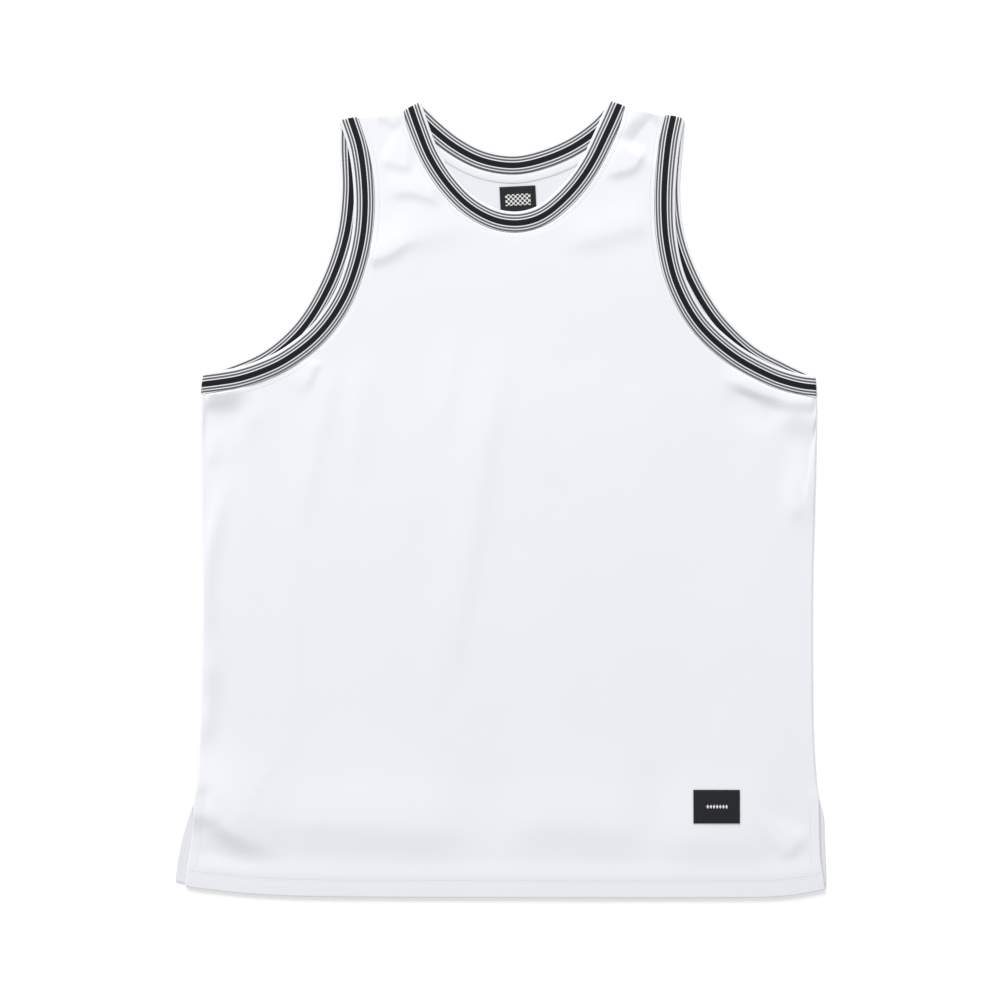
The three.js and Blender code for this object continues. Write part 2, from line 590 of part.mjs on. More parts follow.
const WHITE_MESH = new THREE.MeshStandardMaterial({ color: 0xf1f2f5, roughness: 0.8, metalness: 0 });
const STRIPED_RIB = new THREE.MeshStandardMaterial({ color: 0x55585c, roughness: 0.85, metalness: 0 });
const WHITE_TAPE = new THREE.MeshStandardMaterial({ color: 0xf3f3f3, roughness: 0.8, metalness: 0 });
const BLACK_WOVEN = new THREE.MeshStandardMaterial({ color: 0x16181b, roughness: 0.7, metalness: 0 });

const jersey = new THREE.Group();

function add(name, geometry, material) {
  const mesh = new THREE.Mesh(geometry, material);
  mesh.name = name;
  jersey.add(mesh);
}

const front = panelGeometry("front", FRONT_STEPS);
const back = panelGeometry("back", BACK_STEPS);

add("front_panel", front, WHITE_MESH);
add("back_panel", back, WHITE_MESH);
add("armhole_band_left", armholeBand("left"), STRIPED_RIB);
add("armhole_band_right", armholeBand("right"), STRIPED_RIB);
add("neck_band", neckBand(), STRIPED_RIB);
add("back_neck_tape", tapeGeometry(), WHITE_TAPE);
add("neck_label", labelGeometry(NECK_LABEL, heightOn(back)), BLACK_WOVEN);
add("hem_label", labelGeometry(HEM_LABEL, heightOn(front)), BLACK_WOVEN);

// The origin goes to the middle of the outline
const box = new THREE.Box3().setFromObject(jersey);
const middle = box.getCenter(new THREE.Vector3());
jersey.children.forEach((mesh) => mesh.geometry.translate(-middle.x, -middle.y, -box.min.z));

export default jersey;
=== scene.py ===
import math

import bpy
import numpy as np
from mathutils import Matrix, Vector, noise


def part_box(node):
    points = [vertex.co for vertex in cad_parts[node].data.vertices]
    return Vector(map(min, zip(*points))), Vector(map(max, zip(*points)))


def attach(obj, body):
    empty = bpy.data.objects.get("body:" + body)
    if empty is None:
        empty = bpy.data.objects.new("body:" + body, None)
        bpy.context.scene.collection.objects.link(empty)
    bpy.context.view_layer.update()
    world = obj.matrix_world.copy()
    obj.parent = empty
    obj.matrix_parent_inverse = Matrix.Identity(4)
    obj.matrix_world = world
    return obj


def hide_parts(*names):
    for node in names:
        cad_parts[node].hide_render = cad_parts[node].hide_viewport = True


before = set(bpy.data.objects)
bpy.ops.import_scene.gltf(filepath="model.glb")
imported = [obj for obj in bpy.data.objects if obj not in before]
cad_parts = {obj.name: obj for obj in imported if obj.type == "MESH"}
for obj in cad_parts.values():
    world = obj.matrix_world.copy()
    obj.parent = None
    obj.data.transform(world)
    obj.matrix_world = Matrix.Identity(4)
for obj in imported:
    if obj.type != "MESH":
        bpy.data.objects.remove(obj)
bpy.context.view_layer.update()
MM = 0.001

# Sizes shared with the solids
CLOTH = 1.2
RIB = 2.2
TAPE = 1.0
LABEL = 0.8
TURN = 1.0
GAP = 0.3
TAPE_TOP = CLOTH + GAP + TAPE
BAND_TOP = TAPE_TOP + GAP + RIB
PANEL_TOP = BAND_TOP - 0.5
HEM_TOP = 2 * CLOTH + 2 * TURN + GAP
SETTLED_TOP = 2 * CLOTH + GAP + 0.1
HEM_DEPTH = 17
VENT_HEM_WIDTH = 9
VENT_TOP_Y = -286
VENT_CLOSE = 14
TAPE_WIDTH = 8
BACK_HEM_RISE = 2
CHEST_Y = 97
MIDDLE_X = 13
HEM_LABEL = {"x": 207.2, "y": -295.2, "width": 44.5, "height": 32, "turn": 0.0}
NECK_LABEL = {"x": 16.8, "y": 287.2, "width": 34.5, "height": 26, "turn": 0.05}

# Sizes of the looks: the width that the rib's stripes are laid out on, how far the topstitch is from a band,
# how deep a line of stitches sinks in, how round the edges are, how much wider the back's vent edge is
# turned, and the steps in which a layer turns under at a fold
BAND_WIDTH = 19.2
TOPSTITCH_IN = 4.6
GROOVE = 0.16
SEAM_ROUND = 0.7
FREE_ROUND = 1.1
HEM_ROUND = 1.1
BACK_VENT_EXTRA = 3
TURN_STEPS = 8

# Where the front settles on the back, as pairs from not at all to fully: inwards, up from the hem, down
# from the chest. The hem's stitch line lies HEM_SLOPE higher than its fold.
SETTLES_X = (265, 150)
SETTLES_HEM = (-335, -260)
SETTLES_CHEST = (235, 120)
HEM_SLOPE = 0.6

# The first row of points above the hem of a panel follows it, ABOVE_HEM over the stitch line, and stands for
# the height HEM_END. The rows are level from HEM_BEND above that.
HEM_END = -352
HEM_BEND = 52
ABOVE_HEM = 6.5

# The side edges as laid: height, then the edge of the front and of the back on the left and on the right
SIDES = {
    "y": (99, 60, -5, -80, -190, -232, -270, -286, -304, -328, -348, -366, -384),
    "front_left": (
        -288, -287.5, -287.5, -286.5, -287.5, -289.5, -292, -293.2, -294.2, -296.7, -299.7, -302.3, -303.4,
    ),
    "back_left": (
        -288, -287.5, -287.5, -286.5, -287.5, -289.5, -292, -293.2, -299.5, -306.4, -310.4, -312.4, -313,
    ),
    "front_right": (303.5, 303.5, 302, 300, 300, 301, 303.5, 305.5, 306, 306.5, 307.5, 310.3, 312),
    "back_right": (303.5, 303.5, 302, 300, 300, 301, 303.5, 305.5, 310.5, 311.5, 312.5, 313, 313),
}
HEM = {
    "x": (-313, -298, -279, -240, -180, 0, 240, 279, 313),
    "y": (-369.5, -373, -375.5, -379.5, -382, -383, -383, -381, -375),
}

# Rib bands, one row for each station: seam x, seam y, free edge x, free edge y.
# Armholes run from the armpit fold to the shoulder fold, necks from the left fold to the right one.
BANDS = {
    "left_front": (
        (-288, 99.5, -285.5, 120.8),
        (-265, 103, -267.7, 123.3),
        (-248, 106.4, -252.4, 126.1),
        (-225.8, 113.5, -234.3, 131.9),
        (-203.7, 124, -214.3, 141),
        (-180.4, 140.2, -192.9, 155.8),
        (-162.8, 157.2, -178, 170.2),
        (-147.7, 178.2, -164.2, 189.4),
        (-135.5, 203.3, -153.3, 212.3),
        (-123.9, 246, -143.3, 250.1),
        (-120.6, 290, -140.8, 289),
        (-125.8, 330.8, -145.9, 335),
        (-137, 367, -155, 363.5),
    ),
    "left_back": (
        (-288, 99.5, -285.5, 120.8),
        (-251.7, 110.3, -257.3, 129.7),
        (-217.1, 126.6, -226.7, 144.1),
        (-182.6, 157.1, -196.8, 171.3),
        (-155.1, 202.7, -173.4, 210.9),
        (-139.3, 249.9, -158.8, 254.5),
        (-134, 295, -154.1, 295),
        (-134, 338, -155.3, 337),
        (-137, 367, -155, 363.5),
    ),
    "right_front": (
        (303.5, 96, 302.5, 118),
        (289.4, 99.1, 291, 119.3),
        (274.1, 102.4, 278.5, 122.2),
        (255.6, 109, 262.6, 127.9),
        (214.9, 132.2, 227.7, 147.6),
        (181.4, 164.5, 197, 176.7),
        (159.7, 204.1, 178, 212.2),
        (150, 245, 169.6, 248.1),
        (147.8, 290, 167.8, 290.5),
        (151.5, 336.8, 172.1, 340.3),
        (158.5, 369, 177, 365.3),
    ),
    "right_back": (
        (303.5, 96, 302.5, 118),
        (267.2, 113.6, 273.3, 132),
        (233.9, 131.7, 243.7, 148.8),
        (198.5, 166, 212.6, 180.1),
        (172.9, 208, 190.9, 216.9),
        (157.6, 252.1, 177, 256.3),
        (152.9, 296, 172.6, 296),
        (154.5, 337, 175.3, 338.1),
        (158.5, 369, 177, 365.3),
    ),
    "neck_front": (
        (-93, 373, -76.5, 381.5),
        (-89.6, 356.2, -69.9, 361.8),
        (-77.7, 326.3, -59.7, 335.1),
        (-59.9, 297.7, -43.7, 309.5),
        (-37.9, 274.7, -25.1, 290.1),
        (-11.2, 259.7, -4.4, 278.6),
        (13, 255.2, 13, 275.6),
        (34.5, 258.8, 27.7, 277.8),
        (52.5, 267.8, 41, 284.3),
        (76.5, 289.8, 61.1, 303.1),
        (95, 316.2, 77.4, 325.9),
        (112.2, 351.4, 92.6, 357.3),
        (120, 377, 103.8, 382.5),
    ),
    "neck_back": (
        (-93, 373, -76.5, 381.5),
        (-73.2, 350.8, -57.3, 363.1),
        (-47.8, 330.4, -37.6, 347.5),
        (-19.6, 316.5, -14.5, 335.7),
        (13, 311.5, 13, 331.4),
        (44, 317.3, 38.7, 336.7),
        (73, 329.8, 65.7, 348.4),
        (98, 348, 87.6, 364.2),
        (120, 377, 103.8, 382.5),
    ),
}

# Folds and creases of the front, each along its crest and drawn towards the right or upwards: the rise (a
# trough is below 0), the width of the slope on the upper or left side, the width on the lower or right side,
# the share of its length over which it rises at its start, the share over which it falls at its end, and the
# points that it runs through
FOLDS = (
    # Left strap and chest
    (1.2, 14, 6, 0.2, 0.3, ((-121, 369), (-108, 366), (-96, 356))),
    (1.5, 32, 6, 0.3, 0.3, ((-117, 329), (-100, 322), (-81, 320))),
    (1.6, 22, 6, 0.3, 0.3, ((-112, 292), (-93, 295), (-76, 293), (-54, 282))),
    (2.1, 22, 7, 0.1, 0.6, ((-128, 229), (-108, 235), (-91, 246), (-66, 253))),
    (1.0, 26, 14, 0.4, 0.6, ((-112, 238), (-68, 255), (-41, 259), (-5, 258))),
    # Right strap and chest
    (1.1, 8, 6, 0.3, 0.4, ((112, 344), (120, 357), (132, 368), (140, 372))),
    (-1.7, 6, 32, 0.3, 0.2, ((122, 334), (131, 346), (141, 358), (149, 369))),
    (1.9, 34, 5.5, 0.3, 0.3, ((96, 311), (116, 315), (126, 318), (133, 328), (138, 343))),
    (1.5, 22, 12, 0.4, 0.2, ((50, 244), (86, 251), (115, 259), (148, 266))),
    # Left armhole and armpit
    (1.2, 12, 4.5, 0.5, 0.2, ((-192, 96), (-184, 114), (-175, 134))),
    (4.4, 14, 11, 0.35, 0.5, ((-292, 101), (-267, 102), (-236, 109))),
    (-1.4, 9, 55, 0.1, 0.45, ((-286, 82), (-263, 80), (-241, 82))),
    (0.9, 5, 7, 0.4, 0.4, ((-278, 26), (-276, 48), (-276, 72))),
    (0.8, 16, 12, 0.4, 0.4, ((-260, 25), (-246, 68), (-224, 100))),
    # Right armpit and the side below it
    (2.3, 16, 8, 0.35, 0.05, ((206, 123), (240, 106), (264, 97), (283, 93), (303, 93))),
    (-2.3, 7, 20, 0.35, 0.02, ((212, 109), (238, 95), (263, 86), (285, 82), (303, 82))),
    (3.4, 12, 14, 0.5, 0.05, ((256, 82), (282, 80), (304, 77))),
    (-1.1, 14, 40, 0.7, 0.05, ((246, 58), (280, 52), (301, 48.7))),
    (1.6, 34, 22, 0.4, 0.2, ((268, 0), (286, 0), (302, 2))),
    (0.5, 7, 6, 0.4, 0.4, ((276, -10), (292, -10))),
    # Long soft drapes of the body, under them the swell of the chest
    (1.8, 120, 240, 0.2, 0.2, ((-235, 60), (0, 90), (235, 60))),
    (
        1.3, 24, 12, 0.35, 0.3,
        (
            (-78, -222), (-62, -188), (-47, -145), (-39, -97), (-29, -40),
            (-22, 8), (-12, 66), (-4, 119), (0, 165),
        ),
    ),
    (0.7, 14, 9, 0.4, 0.4, ((-60, 45), (-52, 95), (-48, 133), (-47, 172))),
    (0.8, 9, 12, 0.4, 0.3, ((-137, 10), (-136, 76), (-135, 148))),
    (0.8, 15, 9, 0.4, 0.2, ((-194, -40), (-185, 8), (-176, 56), (-167, 95), (-160, 135))),
    (0.45, 18, 9, 0.3, 0.3, ((-200, -290), (-200, -193), (-198, -97), (-192, -20), (-186, 20))),
    # The left side, where the cloth rolls under
    (2.1, 7, 9, 0.2, 0.3, ((-283, -200), (-284, -136), (-283, -88), (-279, -49), (-270, -6), (-260, 32))),
    (2.1, 9, 9, 0.3, 0.4, ((-286, -245), (-281, -210), (-277, -165), (-277, -125))),
    # The dent that runs in from the left vent, its upper lip and its floor
    (
        5.6, 50, 13, 0.04, 0.6,
        ((-308, -301), (-290, -301), (-274, -303), (-264, -313), (-250, -322), (-228, -330), (-200, -337)),
    ),
    (-0.5, 9, 9, 0.05, 0.3, ((-296, -338), (-267, -346), (-240, -351), (-216, -354))),
    # Soft swells above the hem
    (2.8, 60, 25, 0.3, 0.3, ((-246, -303), (-164, -306), (-97, -311), (-8, -316))),
    (2.0, 60, 26, 0.3, 0.3, ((-6, -304), (67, -308), (152, -316))),
    (1.3, 55, 24, 0.3, 0.3, ((146, -321), (211, -324), (272, -328))),
    # Right vent
    (1.5, 28, 7, 0.3, 0.4, ((266, -346), (275, -338), (285, -328), (293, -313))),
)


class Curve:
    """A smooth curve through points, read by the distance along it."""

    def __init__(self, points):
        p = np.array(points, float)
        p = np.vstack([2 * p[0] - p[1], p, 2 * p[-1] - p[-2]])
        s = np.linspace(0, 1, 80, endpoint=False)[:, None]
        parts = []
        for a, b, c, d in zip(p, p[1:], p[2:], p[3:]):
            ab, bc, cd = (math.sqrt(np.linalg.norm(v - u)) for u, v in ((a, b), (b, c), (c, d)))
            start = ((b - a) / ab - (c - a) / (ab + bc) + (c - b) / bc) * bc
            end = ((c - b) / bc - (d - b) / (bc + cd) + (d - c) / cd) * bc
            square = -3 * b + 3 * c - 2 * start - end
            cube = 2 * b - 2 * c + start + end
            parts.append(b + start * s + square * s**2 + cube * s**3)
        self.points = np.vstack(parts + [p[-2:-1]])
        steps = np.linalg.norm(np.diff(self.points, axis=0), axis=1)
        self.along = np.concatenate([[0], np.cumsum(steps)])
        self.length = self.along[-1]

    def at(self, distance):
        return np.stack([np.interp(distance, self.along, self.points[:, k]) for k in (0, 1)], axis=-1)

    def tangent(self, distance):
        d = np.clip(distance, 0.3, self.length - 0.3)
        way = self.at(d + 0.3) - self.at(d - 0.3)
        return way / np.linalg.norm(way, axis=-1, keepdims=True)


def seam_of(band):
    return Curve([row[:2] for row in BANDS[band]])


def free_of(band):
    return Curve([row[2:] for row in BANDS[band]])


def read_table(keys, values, at):
    """Smooth reading of a table: a cubic through its rows, held at both ends."""
    k, v = np.array(keys, float), np.array(values, float)
    if k[0] > k[-1]:
        k, v = k[::-1], v[::-1]
    slope = np.gradient(v, k)
    slope[1:-1] = (v[2:] - v[:-2]) / (k[2:] - k[:-2])
    x = np.clip(at, k[0], k[-1])
    i = np.clip(np.searchsorted(k, x) - 1, 0, len(k) - 2)
    span = k[i + 1] - k[i]
    t = (x - k[i]) / span
    cubic = 2 * t**3 - 3 * t**2
    turn = span * (slope[i] * (t**3 - 2 * t**2 + t) + slope[i + 1] * (t**3 - t**2))
    return v[i] * (cubic + 1) - v[i + 1] * cubic + turn


def side_x(layer, x, y):
    """The side edge of a layer at a height, on the side that x is on."""
    left = read_table(SIDES["y"], SIDES[layer + "_left"], y)
    right = read_table(SIDES["y"], SIDES[layer + "_right"], y)
    return np.where(np.asarray(x) < 0, left, right)


def hem_y(x):
    """The hem edge of the front at x."""
    return read_table(HEM["x"], HEM["y"], x)


def hem_edge(layer, x):
    """The hem edge of a layer at x."""
    return hem_y(x) + (BACK_HEM_RISE if layer == "back" else 0)


def smooth(value, start, end):
    """A soft step from 0 at the start to 1 at the end."""
    t = np.clip((value - start) / (end - start), 0, 1)
    return t * t * (3 - 2 * t)


def fold_line(fold):
    """The points that a fold runs through, close together, and the distance along it to each."""
    line = Curve(fold[-1])
    knots = np.linspace(0, line.length, max(6, int(line.length / 7)))
    return fold, line.at(knots), knots


FOLD_LINES = [fold_line(fold) for fold in FOLDS]


def fold_height(fold_line, x, y):
    """One soft fold: a bell across its line, with its own width on either side, that fades at its ends."""
    (rise, left_width, right_width, start_share, end_share, _), places, knots = fold_line
    nearest = np.full_like(x, 1e9)
    side = np.zeros_like(x)
    along = np.zeros_like(x)
    for start, end, knot in zip(places, places[1:], knots):
        way = end - start
        length = math.hypot(*way)
        off_x, off_y = x - start[0], y - start[1]
        held = np.clip((off_x * way[0] + off_y * way[1]) / length**2, 0, 1)
        away = np.hypot(off_x - held * way[0], off_y - held * way[1])
        closer = away < nearest
        nearest = np.where(closer, away, nearest)
        side = np.where(closer, (off_y * way[0] - off_x * way[1]) / length, side)
        along = np.where(closer, knot + held * length, along)
    share = along / knots[-1]
    fade = smooth(share, 0, start_share) * smooth(share, 1, 1 - end_share)
    width = right_width + (left_width - right_width) * smooth(side, -3, 3)
    return rise * fade * np.exp(-((nearest / width) ** 2))


def rumple(x, y):
    """Very slight unevenness of laid cloth."""
    values = [
        0.5 * noise.noise(Vector((a / 95, b / 150, 3.1))) + 0.16 * noise.noise(Vector((a / 30, b / 42, 7.7)))
        for a, b in zip(x.ravel(), y.ravel())
    ]
    return np.array(values).reshape(x.shape)


def front_level(x, y, shown):
    """Height of the front's outer face before its edges turn under."""
    settled = smooth(np.abs(x), *SETTLES_X) * smooth(y, *SETTLES_HEM) * smooth(y, *SETTLES_CHEST)
    flat = PANEL_TOP + (SETTLED_TOP - PANEL_TOP) * settled
    from_side = np.abs(x - side_x("front", x, y))
    from_hem = y - hem_y(x)
    hem = smooth(from_hem, HEM_DEPTH + 22, HEM_DEPTH + BACK_HEM_RISE + 1)
    vent = smooth(y, VENT_TOP_Y + VENT_CLOSE, VENT_TOP_Y)
    vent = vent * smooth(from_side, VENT_HEM_WIDTH + 10, VENT_HEM_WIDTH + 1)
    sewn = np.maximum(hem, vent)
    folds = sum(fold_height(line, x, y) for line in FOLD_LINES) * shown
    folds = folds * (1 - 0.8 * hem) * (1 - 0.35 * vent)
    lowest = SETTLED_TOP + (HEM_TOP - SETTLED_TOP) * sewn
    slope = HEM_SLOPE * hem * np.clip(from_hem / HEM_DEPTH, 0, 1)
    level = flat + (HEM_TOP - flat) * sewn + slope + folds
    return lowest + np.logaddexp(0, (level - lowest) * 4) / 4


def shown_beside(near):
    """How far the folds reach at a distance from a band, whose seam holds the cloth down."""
    return 0.75 + 0.25 * smooth(near, 0, 9)


def edge_turn(distance, radius):
    """How far a folded edge has turned under at a distance in from it, and the slope there."""
    start = GAP / 2
    inward = np.maximum(distance, radius - np.sqrt(radius**2 - start**2))
    turned = inward < radius
    rise = np.sqrt(np.where(turned, radius**2 - (radius - inward) ** 2, 1))
    drop = np.where(turned, radius - rise, 0)
    slope = np.where(turned, (radius - inward) / rise, 0)
    return drop, slope


def shoulder_line(side):
    """The straight shoulder fold: a point on it and the direction down into the panel."""
    arm = np.array(BANDS[side + "_front"][-1][:2], float)
    neck = np.array(BANDS["neck_front"][0 if side == "left" else -1][:2], float)
    along = (neck - arm) / np.linalg.norm(neck - arm)
    down = np.array([along[1], -along[0]])
    return arm, down if down[1] < 0 else -down


SHOULDERS = {side: shoulder_line(side) for side in ("left", "right")}


def face_at(layer, x, y, shown, level):
    """Outer face of the front or back: its points and the way they face."""
    radius = level / 2
    inward = np.where(x < 0, 1.0, -1.0)
    closed = smooth(y, VENT_TOP_Y, VENT_TOP_Y + VENT_CLOSE)
    side_drop, side_slope = edge_turn(np.abs(x - side_x(layer, x, y)), radius)
    side_drop, side_slope = side_drop * closed, side_slope * closed
    left = x < 0
    down_x = np.where(left, SHOULDERS["left"][1][0], SHOULDERS["right"][1][0])
    down_y = np.where(left, SHOULDERS["left"][1][1], SHOULDERS["right"][1][1])
    from_x = x - np.where(left, SHOULDERS["left"][0][0], SHOULDERS["right"][0][0])
    from_y = y - np.where(left, SHOULDERS["left"][0][1], SHOULDERS["right"][0][1])
    from_shoulder = np.maximum(from_x * down_x + from_y * down_y, 0)
    shoulder_drop, shoulder_slope = edge_turn(from_shoulder, radius)
    by_side = side_drop >= shoulder_drop
    drop = np.maximum(side_drop, shoulder_drop)
    slope_x = np.where(by_side, side_slope * inward, shoulder_slope * down_x)
    slope_y = np.where(by_side, 0, shoulder_slope * down_y)
    facing = 1.0 if layer == "front" else -1.0
    height = level - drop if layer == "front" else drop
    normal = np.stack([-slope_x, -slope_y, np.full_like(x, facing)], axis=-1)
    normal /= np.linalg.norm(normal, axis=-1, keepdims=True)
    return np.stack([x, y, height], axis=-1), normal


def columns(length, count):
    """Distances in from the outer edge: close together where it turns under or is sewn, then even."""
    turned = PANEL_TOP / 2 * (1 - np.cos(np.linspace(0, math.pi / 2, TURN_STEPS)))
    sewn = [3.4, 5, 7, VENT_HEM_WIDTH - 0.6, VENT_HEM_WIDTH, VENT_HEM_WIDTH + 0.6]
    start = np.concatenate([turned, sewn])
    share = (np.arange(count) + 1) / count
    return np.concatenate([start, start[-1] + (length - start[-1]) * share])


def seam_steps(length, turned_start, count):
    """Distances along a seam: close together at a fold, even between."""
    turn = BAND_TOP / 2 * (1 - np.cos(np.linspace(0, math.pi / 2, TURN_STEPS)))
    start = turn if turned_start else np.array([0.0])
    end = length - turn[::-1]
    even = start[-1] + (end[0] - start[-1]) * (np.arange(count - 1) + 1) / count
    return np.concatenate([start, even, end])


def neck_half(layer, side):
    """Where the neck seam crosses the middle, and how far it runs from there to a shoulder."""
    whole = seam_of("neck_" + layer)
    low = float(np.interp(MIDDLE_X, whole.points[:, 0], whole.along))
    length = low if side == "left" else whole.length - low
    return whole, low, length, -1 if side == "left" else 1


def row_heights(layer, steps):
    """The rows of points below the chest, each a function that gives its height at x."""
    hem_rows = [0, 0.12, 0.4, 0.8, 1.3, 3, 7, 11, 15]
    hem_rows += [HEM_DEPTH - 0.8, HEM_DEPTH, HEM_DEPTH + 0.6, HEM_DEPTH + 3]
    rows = [lambda x, h=h: hem_edge(layer, x) + h for h in hem_rows]
    closed_y = VENT_TOP_Y + VENT_CLOSE
    levels = list(np.linspace(HEM_END, closed_y, steps["vent"], endpoint=False))
    levels += list(np.linspace(closed_y, CHEST_Y, steps["body"], endpoint=False))
    for level in levels:
        bend = max(0, 1 - (level - HEM_END) / HEM_BEND)
        above = HEM_DEPTH + ABOVE_HEM - HEM_END
        rows.append(lambda x, level=level, bend=bend: level + bend * (hem_edge(layer, x) + above))
    return rows


def half_panel(layer, side, steps):
    """Rows of points of one half of a panel from the hem to the shoulder, outer edge first, with how far
    the folds reach each point and how far it is from a band."""
    armhole = seam_of(side + "_" + layer)
    whole, low, neck_length, sign = neck_half(layer, side)
    rows = []
    for height_at in row_heights(layer, steps):
        outer_x = armhole.at(0)[0]
        for _ in range(4):
            outer_x = float(side_x(layer, outer_x, height_at(outer_x)))
        inward = columns(abs(outer_x - MIDDLE_X), steps["across"])
        x = outer_x + math.copysign(1, MIDDLE_X - outer_x) * inward
        rows.append((x, height_at(x), np.ones_like(x), np.full_like(x, 99.0)))
    seam = seam_steps(armhole.length, True, steps["chest"] + steps["strap"])
    first_even = TURN_STEPS - 1
    first_strap = first_even + steps["chest"]
    neck_seam = seam_steps(neck_length, False, steps["strap"])
    middle = whole.at(low)
    for i, distance in enumerate(seam):
        outer = armhole.at(distance)
        if i >= first_strap:
            inner = whole.at(low + sign * neck_seam[i - first_strap])
        else:
            share = max(0.002 * i, (i - first_even) / steps["chest"])
            inner = np.array([MIDDLE_X, CHEST_Y + (middle[1] - CHEST_Y) * share])
        length = float(np.linalg.norm(inner - outer))
        inward = columns(length, steps["across"])
        points = outer + (inner - outer) * (inward / length)[:, None]
        if i >= first_strap:
            from_neck = length - inward
        else:
            from_neck = np.linalg.norm(points - middle, axis=1)
        near = np.minimum(inward, from_neck)
        rows.append((points[:, 0], points[:, 1], shown_beside(near), near))
    return [np.array([row[k] for row in rows]) for k in range(4)]


def cloth_thickness(layer, x, y):
    """One layer, and one more where the hem and the vent edge are turned under."""
    hem = smooth(y - hem_edge(layer, x), HEM_DEPTH + 0.5, HEM_DEPTH - 0.5)
    width = VENT_HEM_WIDTH + (BACK_VENT_EXTRA if layer == "back" else 0)
    near_side = smooth(np.abs(x - side_x(layer, x, y)), width + 0.5, width - 0.5)
    vent = near_side * smooth(y, VENT_TOP_Y + 1, VENT_TOP_Y - 1)
    return CLOTH + TURN * np.maximum(hem, vent)


def rounded(distance, radius):
    """How far a face draws in at a distance from a rounded edge."""
    d = np.clip(distance, 0, radius)
    return radius - np.sqrt(radius**2 - (radius - d) ** 2)


# From the layout to the frame, read from the place of the hem label
label_low, label_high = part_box("hem_label")
label_x, label_y = [(label_low[k] + label_high[k]) / 2 / MM for k in (0, 1)]
SHIFT = np.array([label_x - HEM_LABEL["x"], label_y - HEM_LABEL["y"], 0])


def new_object(name, points, faces, material, uv=None, sharp=50, replaces=()):
    """A mesh piece in the frame's place that rides on the jersey's one body."""
    mesh = bpy.data.meshes.new(name)
    mesh.from_pydata(((np.asarray(points) + SHIFT) * MM).tolist(), [], [list(map(int, f)) for f in faces])
    mesh.validate()
    mesh.polygons.foreach_set("use_smooth", [True] * len(mesh.polygons))
    if sharp:
        mesh.set_sharp_from_angle(angle=math.radians(sharp))
    if uv is not None:
        layer = mesh.uv_layers.new(name="cloth")
        corner = np.empty(len(mesh.loops), dtype=np.int32)
        mesh.loops.foreach_get("vertex_index", corner)
        layer.data.foreach_set("uv", np.asarray(uv, float)[corner].ravel())
    mesh.materials.append(material)
    obj = bpy.data.objects.new(name, mesh)
    bpy.context.scene.collection.objects.link(obj)
    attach(obj, "root")
    if replaces:
        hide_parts(*replaces)
    return obj


def grid_faces(rows, cols, flipped=False, closed=False):
    """Four-sided faces of a grid of points, with its last row joined to its first where it is closed."""
    r = np.arange(rows if closed else rows - 1)[:, None]
    c = np.arange(cols - 1)[None, :]
    a, b = r * cols + c, r * cols + c + 1
    d, e = ((r + 1) % rows) * cols + c, ((r + 1) % rows) * cols + c + 1
    quads = np.stack([a, b, e, d], axis=-1).reshape(-1, 4)
    return quads[:, ::-1] if flipped else quads


def with_rims(faces, count):
    """The outer faces, the same turned over for the inner ones, and the rims that join them."""
    edges = np.concatenate([faces[:, [k, (k + 1) % 4]] for k in range(4)])
    known = set(map(tuple, edges.tolist()))
    rims = [(b, a, a + count, b + count) for a, b in known if (b, a) not in known]
    return faces.tolist() + (faces[:, ::-1] + count).tolist() + rims


def panel(layer, steps, material):
    """A panel's thin shell: its outer face, the inner one a thickness below it and the rims between them."""
    points, inner, uv, quads = [], [], [], []
    index = {}
    for side in ("left", "right"):
        x, y, shown, near = half_panel(layer, side, steps)
        base = front_level(x, y, shown)
        if layer == "front":
            base = base + rumple(x, y) * shown * smooth(y - hem_y(x), HEM_DEPTH, 60)
        face, normal = face_at(layer, x, y, shown, base)
        if layer == "front":
            step_x = np.gradient(base, axis=1) / np.maximum(np.abs(np.gradient(x, axis=1)), 0.05)
            tilt = np.clip(step_x * np.sign(np.gradient(x, axis=1)), -0.4, 0.4)
            normal[..., 0] -= np.where(normal[..., 2] > 0.95, tilt, 0)
            normal /= np.linalg.norm(normal, axis=-1, keepdims=True)
        thick = cloth_thickness(layer, x, y)
        below_vent = smooth(y, VENT_TOP_Y + 2, VENT_TOP_Y - 6)
        from_side = np.abs(x - side_x(layer, x, y))
        from_hem = y - hem_edge(layer, x)
        draw = rounded(from_hem, HEM_ROUND)
        draw = np.maximum(draw, below_vent * rounded(from_side, HEM_ROUND))
        draw = np.maximum(draw, 0.9 * rounded(near, 0.55))
        draw = np.minimum(draw, thick / 2 - 0.05)
        hem_line = np.exp(-(((from_hem - HEM_DEPTH + 0.9) / 1.8) ** 2))
        vent_line = np.exp(-(((from_side - VENT_HEM_WIDTH) / 1.4) ** 2)) * below_vent
        band_line = np.exp(-(((near - TOPSTITCH_IN) / 1.1) ** 2))
        stitched = np.maximum(hem_line, vent_line * (y - hem_y(x) > HEM_DEPTH))
        stitched = GROOVE * np.maximum(stitched, band_line)
        out = face - normal * (draw + stitched)[..., None]
        into = face - normal * (thick - draw)[..., None]
        quads_here = grid_faces(*x.shape, flipped=(side == "right") == (layer == "front"))
        remap = np.empty(x.size, dtype=np.int64)
        for k, (px, py) in enumerate(zip(x.ravel(), y.ravel())):
            key = (round(px, 3), round(py, 3))
            if key not in index:
                index[key] = len(points)
                points.append(out.reshape(-1, 3)[k])
                inner.append(into.reshape(-1, 3)[k])
                uv.append((px * MM, py * MM))
            remap[k] = index[key]
        quads.append(remap[quads_here])
    count = len(points)
    faces = with_rims(np.concatenate(quads), count)
    return new_object(
        layer + "_shell",
        np.array(points + inner),
        faces,
        material,
        uv=np.array(uv + uv),
        replaces=(layer + "_panel",),
    )


